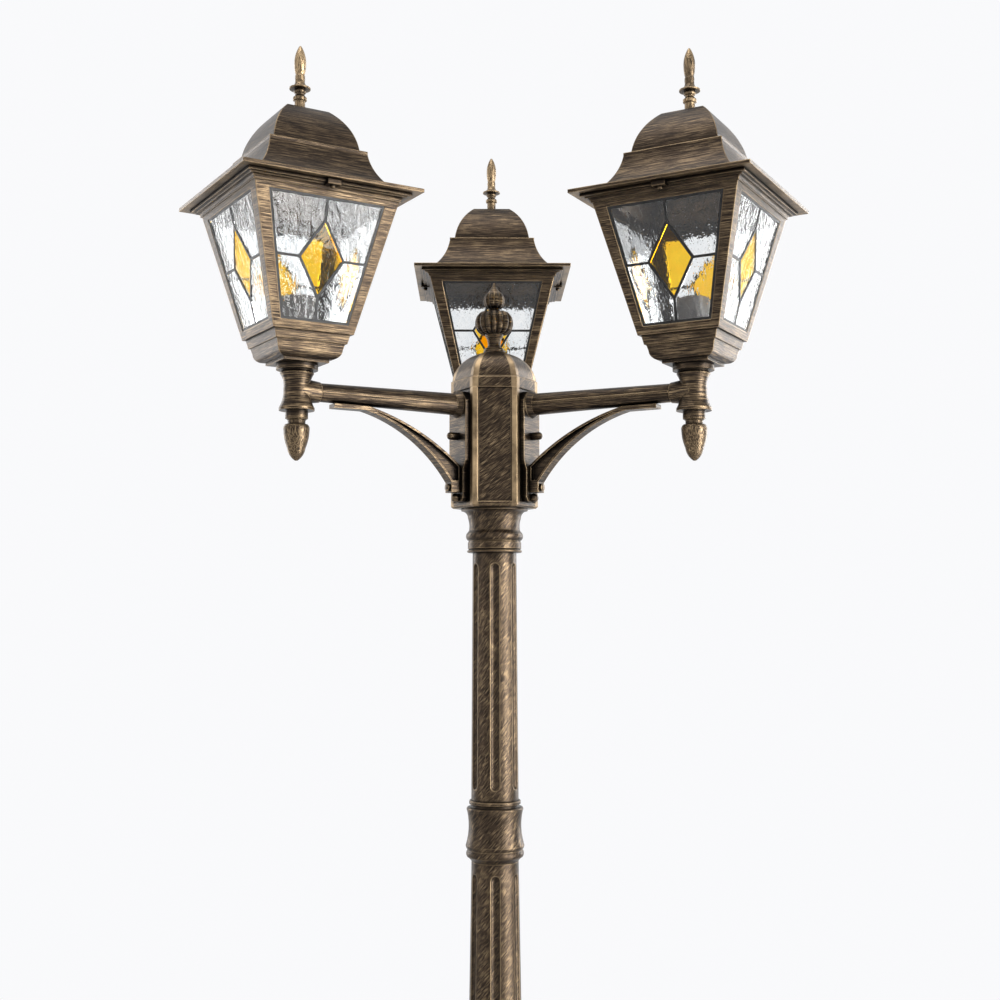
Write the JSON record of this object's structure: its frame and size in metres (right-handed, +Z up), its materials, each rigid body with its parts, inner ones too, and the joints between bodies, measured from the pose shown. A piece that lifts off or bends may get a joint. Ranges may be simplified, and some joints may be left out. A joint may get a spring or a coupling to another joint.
{
  "type": "garden lamp post",
  "caption": "Free-standing garden lamp post with leaded square lanterns on bracketed arms round a hexagonal head, on a fluted column",
  "frame": {"origin": "middle of the foot's underside, on the ground, on the post's axis", "axes": "+Z up the post; front, with the two side lanterns, towards -Y; third arm towards +Y"},
  "size_m": [0.6694, 0.5796, 2.2502],
  "materials": {
    "bronze": "satin",
    "finial_bronze": "satin",
    "screw_bronze": "satin",
    "clear_glass": "gloss",
    "amber_glass": "gloss",
    "lead": "satin",
    "holder": "satin",
    "zinc_steel": "satin",
    "brass": "satin"
  },
  "bodies": {
    "post": {"acorn_left": "bronze", "acorn_rear": "bronze", "acorn_right": "bronze", "amber_panes_left": "amber_glass", "amber_panes_rear": "amber_glass", "amber_panes_right": "amber_glass", "arm_bolts": "screw_bronze", "arm_left": "bronze", "arm_nuts": "zinc_steel", "arm_rear": "bronze", "arm_right": "bronze", "brace_left": "bronze", "brace_rear": "bronze", "brace_right": "bronze", "brace_screws": "screw_bronze", "clear_panes_left": "clear_glass", "clear_panes_rear": "clear_glass", "clear_panes_right": "clear_glass", "collar": "bronze", "column_low": "bronze", "column_mid": "bronze", "column_top": "bronze", "cup_left": "bronze", "cup_rear": "bronze", "cup_right": "bronze", "foot": "bronze", "frame_left": "bronze", "frame_rear": "bronze", "frame_right": "bronze", "head_cap": "bronze", "hex_head": "bronze", "joint_ring_low": "bronze", "joint_ring_top": "bronze", "lamp_holder_left": "holder", "lamp_holder_rear": "holder", "lamp_holder_right": "holder", "lead_came_left": "lead", "lead_came_rear": "lead", "lead_came_right": "lead", "nipples": "zinc_steel", "ornament": "bronze", "pedestal": "bronze", "rod_anchor_bar": "zinc_steel", "screw_shells": "brass", "spindle_left": "bronze", "spindle_rear": "bronze", "spindle_right": "bronze", "tie_rod": "zinc_steel"},
    "lifting_roof_left": {"roof_left": "bronze", "roof_finial_left": "finial_bronze"},
    "retainer_a_left": {"roof_screw_a_left": "screw_bronze"},
    "retainer_b_left": {"roof_screw_b_left": "screw_bronze"},
    "lifting_roof_right": {"roof_right": "bronze", "roof_finial_right": "finial_bronze"},
    "retainer_a_right": {"roof_screw_a_right": "screw_bronze"},
    "retainer_b_right": {"roof_screw_b_right": "screw_bronze"},
    "lifting_roof_rear": {"roof_rear": "bronze", "roof_finial_rear": "finial_bronze"},
    "retainer_a_rear": {"roof_screw_a_rear": "screw_bronze"},
    "retainer_b_rear": {"roof_screw_b_rear": "screw_bronze"}
  },
  "joints": [
    {"name": "roof_lift_left", "type": "slide", "parent": "post", "child": "lifting_roof_left", "axis": [0, 0, 1], "range_m": [0, 0.15]},
    {"name": "retainer_a_spin_left", "type": "hinge", "parent": "lifting_roof_left", "child": "retainer_a_left", "pos_m": [-0.16077, -0.19155, 2.08], "axis": [0, 0, 1], "continuous": true},
    {"name": "retainer_b_spin_left", "type": "hinge", "parent": "lifting_roof_left", "child": "retainer_b_left", "pos_m": [-0.24627, -0.04345, 2.08], "axis": [0, 0, 1], "continuous": true},
    {"name": "roof_lift_right", "type": "slide", "parent": "post", "child": "lifting_roof_right", "axis": [0, 0, 1], "range_m": [0, 0.15]},
    {"name": "retainer_a_spin_right", "type": "hinge", "parent": "lifting_roof_right", "child": "retainer_a_right", "pos_m": [0.24627, -0.04345, 2.08], "axis": [0, 0, 1], "continuous": true},
    {"name": "retainer_b_spin_right", "type": "hinge", "parent": "lifting_roof_right", "child": "retainer_b_right", "pos_m": [0.16077, -0.19155, 2.08], "axis": [0, 0, 1], "continuous": true},
    {"name": "roof_lift_rear", "type": "slide", "parent": "post", "child": "lifting_roof_rear", "axis": [0, 0, 1], "range_m": [0, 0.15]},
    {"name": "retainer_a_spin_rear", "type": "hinge", "parent": "lifting_roof_rear", "child": "retainer_a_rear", "pos_m": [-0.0855, 0.235, 2.08], "axis": [0, 0, 1], "continuous": true},
    {"name": "retainer_b_spin_rear", "type": "hinge", "parent": "lifting_roof_rear", "child": "retainer_b_rear", "pos_m": [0.0855, 0.235, 2.08], "axis": [0, 0, 1], "continuous": true}
  ]
}
